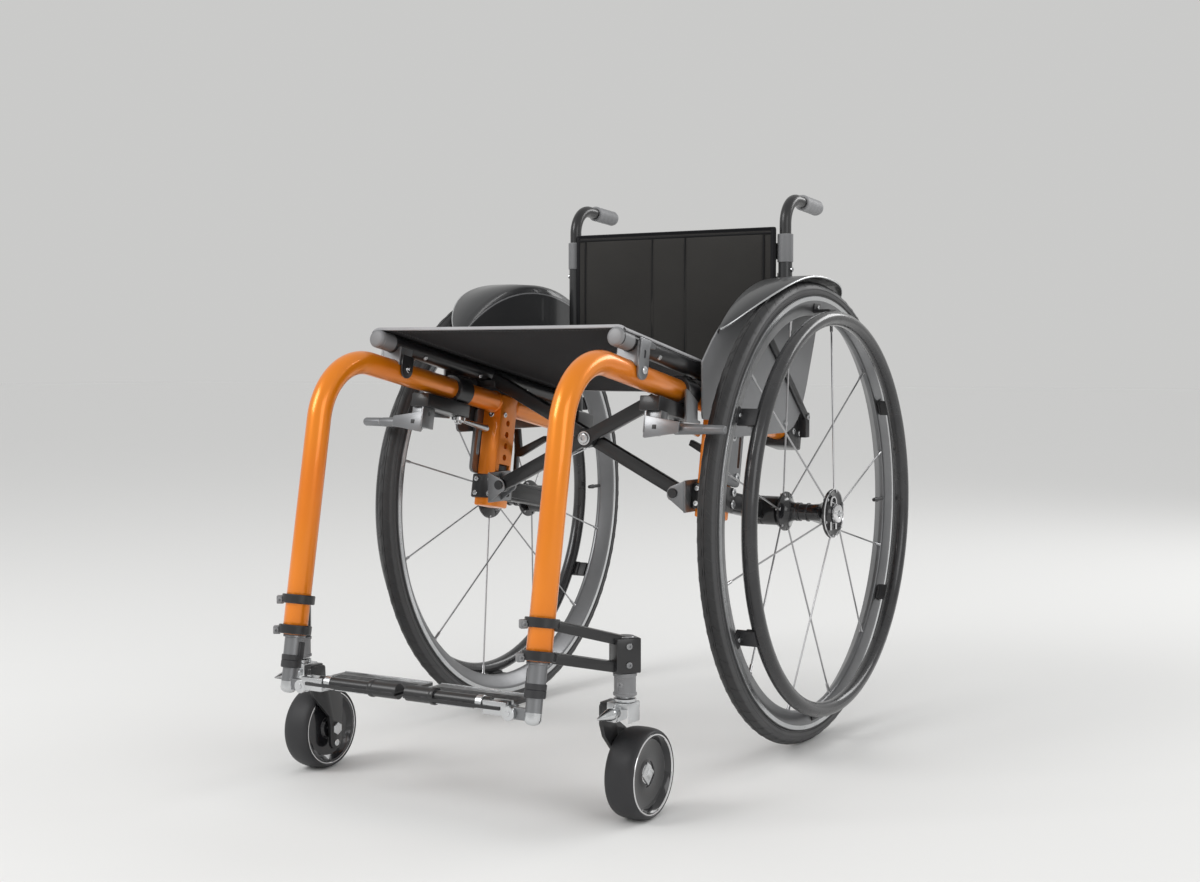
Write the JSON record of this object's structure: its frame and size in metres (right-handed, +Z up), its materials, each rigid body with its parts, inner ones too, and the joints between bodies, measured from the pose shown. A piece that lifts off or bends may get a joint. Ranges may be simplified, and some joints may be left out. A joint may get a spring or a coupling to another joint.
{
  "type": "active wheelchair",
  "caption": "Lightweight folding active wheelchair with a cross-braced tube frame, spoked drive wheels with hand rims, small front casters, sling seat, low back and folding footrest.",
  "frame": {"origin": "on the floor under the middle of the chair", "axes": "+X towards the user's left, -Y towards the front of the chair, +Z up"},
  "size_m": [0.5596, 0.866, 0.7254],
  "materials": {
    "orange_gloss_paint": "gloss",
    "black_satin_paint": "satin",
    "graphite_bracket": "satin",
    "bare_aluminium": "satin",
    "black_rubber": "matte",
    "caster_polyurethane": "satin",
    "anodised_rim": "satin",
    "satin_handrim": "satin",
    "black_hub": "gloss",
    "black_nylon": "matte",
    "grey_black_nylon": "matte",
    "grey_side_guard": "satin",
    "grey_grip": "matte"
  },
  "bodies": {
    "side_right": {"front_tube_right": "orange_gloss_paint", "rear_frame_right": "orange_gloss_paint", "axle_carrier_right": "black_satin_paint", "side_plate_right": "graphite_bracket", "seat_saddle_right": "bare_aluminium", "brace_bracket_right": "graphite_bracket", "caster_plate_right": "black_satin_paint", "caster_housing_right": "bare_aluminium", "back_cane_right": "black_satin_paint", "push_handle_right": "black_satin_paint", "hand_grip_right": "grey_grip", "side_guard_right": "grey_side_guard", "footrest_post_right": "bare_aluminium", "brake_body_right": "graphite_bracket", "back_sling": "grey_black_nylon"},
    "side_left": {"front_tube_left": "orange_gloss_paint", "rear_frame_left": "orange_gloss_paint", "axle_carrier_left": "black_satin_paint", "side_plate_left": "graphite_bracket", "seat_saddle_left": "bare_aluminium", "brace_bracket_left": "graphite_bracket", "caster_plate_left": "black_satin_paint", "caster_housing_left": "bare_aluminium", "back_cane_left": "black_satin_paint", "push_handle_left": "black_satin_paint", "hand_grip_left": "grey_grip", "side_guard_left": "grey_side_guard", "footrest_post_left": "bare_aluminium", "brake_body_left": "graphite_bracket"},
    "brace_a": {"cross_bar_a": "black_satin_paint", "centre_bolt": "bare_aluminium", "seat_rail_left": "black_satin_paint", "seat_sling": "black_nylon"},
    "brace_b": {"cross_bar_b": "black_satin_paint", "seat_rail_right": "black_satin_paint"},
    "wheel_left": {"rear_tyre_left": "black_rubber", "wheel_rim_left": "anodised_rim", "handrim_left": "satin_handrim", "hub_and_spokes_left": "black_hub"},
    "fork_left": {"caster_fork_left": "bare_aluminium"},
    "caster_left": {"caster_tyre_left": "caster_polyurethane", "caster_hub_left": "black_hub"},
    "axle_left": {"quick_release_axle_left": "bare_aluminium"},
    "button_left": {"axle_button_left": "bare_aluminium"},
    "lever_left": {"brake_lever_left": "graphite_bracket"},
    "shoe_left": {"brake_shoe_left": "graphite_bracket"},
    "footplate_left": {"footplate_left": "black_satin_paint"},
    "wheel_right": {"rear_tyre_right": "black_rubber", "wheel_rim_right": "anodised_rim", "handrim_right": "satin_handrim", "hub_and_spokes_right": "black_hub"},
    "fork_right": {"caster_fork_right": "bare_aluminium"},
    "caster_right": {"caster_tyre_right": "caster_polyurethane", "caster_hub_right": "black_hub"},
    "axle_right": {"quick_release_axle_right": "bare_aluminium"},
    "button_right": {"axle_button_right": "bare_aluminium"},
    "lever_right": {"brake_lever_right": "graphite_bracket"},
    "shoe_right": {"brake_shoe_right": "graphite_bracket"},
    "footplate_right": {"footplate_right": "black_satin_paint"}
  },
  "joints": [
    {"name": "fold", "type": "hinge", "parent": "side_right", "child": "brace_a", "pos_m": [-0.13, -0.033, 0.3332], "axis": [0, -1, 0], "range_deg": [0, 41], "deforming": ["seat_sling", "back_sling"]},
    {"name": "brace_cross", "type": "hinge", "parent": "brace_a", "child": "brace_b", "pos_m": [0, -0.033, 0.39802], "axis": [0, -1, 0], "range_deg": [-82, 0]},
    {"name": "left_side", "type": "hinge", "parent": "brace_b", "child": "side_left", "pos_m": [0.13, -0.033, 0.3332], "axis": [0, -1, 0], "range_deg": [0, 41]},
    {"name": "wheel_left_spin", "type": "hinge", "parent": "side_left", "child": "wheel_left", "pos_m": [0.232, 0.133, 0.3], "axis": [1, 0, 0], "continuous": true},
    {"name": "caster_left_swivel", "type": "hinge", "parent": "side_left", "child": "fork_left", "pos_m": [0.225, -0.332, 0.1345], "axis": [0, 0, 1], "continuous": true},
    {"name": "caster_left_spin", "type": "hinge", "parent": "fork_left", "child": "caster_left", "pos_m": [0.224, -0.298, 0.05], "axis": [1, 0, 0], "continuous": true},
    {"name": "axle_left_pull", "type": "slide", "parent": "side_left", "child": "axle_left", "axis": [1, 0, 0], "range_m": [0, 0.12]},
    {"name": "axle_button_left_press", "type": "slide", "parent": "axle_left", "child": "button_left", "axis": [-1, 0, 0], "range_m": [0, 0.002], "stiffness_N_per_m": 800},
    {"name": "brake_lever_left_turn", "type": "hinge", "parent": "side_left", "child": "lever_left", "pos_m": [0.16, -0.09612, 0.42115], "axis": [0, 0.1908, 0.9816], "range_deg": [0, 50]},
    {"name": "brake_shoe_left_turn", "type": "hinge", "parent": "side_left", "child": "shoe_left", "pos_m": [0.172, -0.16361, 0.41827], "axis": [0, 0.1908, 0.9816], "range_deg": [0, 5]},
    {"name": "footplate_left_fold", "type": "hinge", "parent": "side_left", "child": "footplate_left", "pos_m": [0.141, -0.423, 0.13], "axis": [0, 1, 0], "range_deg": [0, 82]},
    {"name": "wheel_right_spin", "type": "hinge", "parent": "side_right", "child": "wheel_right", "pos_m": [-0.232, 0.133, 0.3], "axis": [1, 0, 0], "continuous": true},
    {"name": "caster_right_swivel", "type": "hinge", "parent": "side_right", "child": "fork_right", "pos_m": [-0.225, -0.332, 0.1345], "axis": [0, 0, 1], "continuous": true},
    {"name": "caster_right_spin", "type": "hinge", "parent": "fork_right", "child": "caster_right", "pos_m": [-0.224, -0.298, 0.05], "axis": [1, 0, 0], "continuous": true},
    {"name": "axle_right_pull", "type": "slide", "parent": "side_right", "child": "axle_right", "axis": [-1, 0, 0], "range_m": [0, 0.12]},
    {"name": "axle_button_right_press", "type": "slide", "parent": "axle_right", "child": "button_right", "axis": [1, 0, 0], "range_m": [0, 0.002], "stiffness_N_per_m": 800},
    {"name": "brake_lever_right_turn", "type": "hinge", "parent": "side_right", "child": "lever_right", "pos_m": [-0.16, -0.09612, 0.42115], "axis": [0, -0.1908, -0.9816], "range_deg": [0, 50]},
    {"name": "brake_shoe_right_turn", "type": "hinge", "parent": "side_right", "child": "shoe_right", "pos_m": [-0.172, -0.16361, 0.41827], "axis": [0, -0.1908, -0.9816], "range_deg": [0, 5]},
    {"name": "footplate_right_fold", "type": "hinge", "parent": "side_right", "child": "footplate_right", "pos_m": [-0.141, -0.423, 0.13], "axis": [0, -1, 0], "range_deg": [0, 82]}
  ],
  "couplings": [
    {"joint": "brace_cross", "follows": "fold", "ratio": -2},
    {"joint": "left_side", "follows": "fold", "ratio": 1},
    {"joint": "footplate_left_fold", "follows": "fold", "ratio": 2},
    {"joint": "footplate_right_fold", "follows": "fold", "ratio": 2},
    {"joint": "brake_shoe_left_turn", "follows": "brake_lever_left_turn", "ratio": 0.1},
    {"joint": "brake_shoe_right_turn", "follows": "brake_lever_right_turn", "ratio": 0.1}
  ]
}
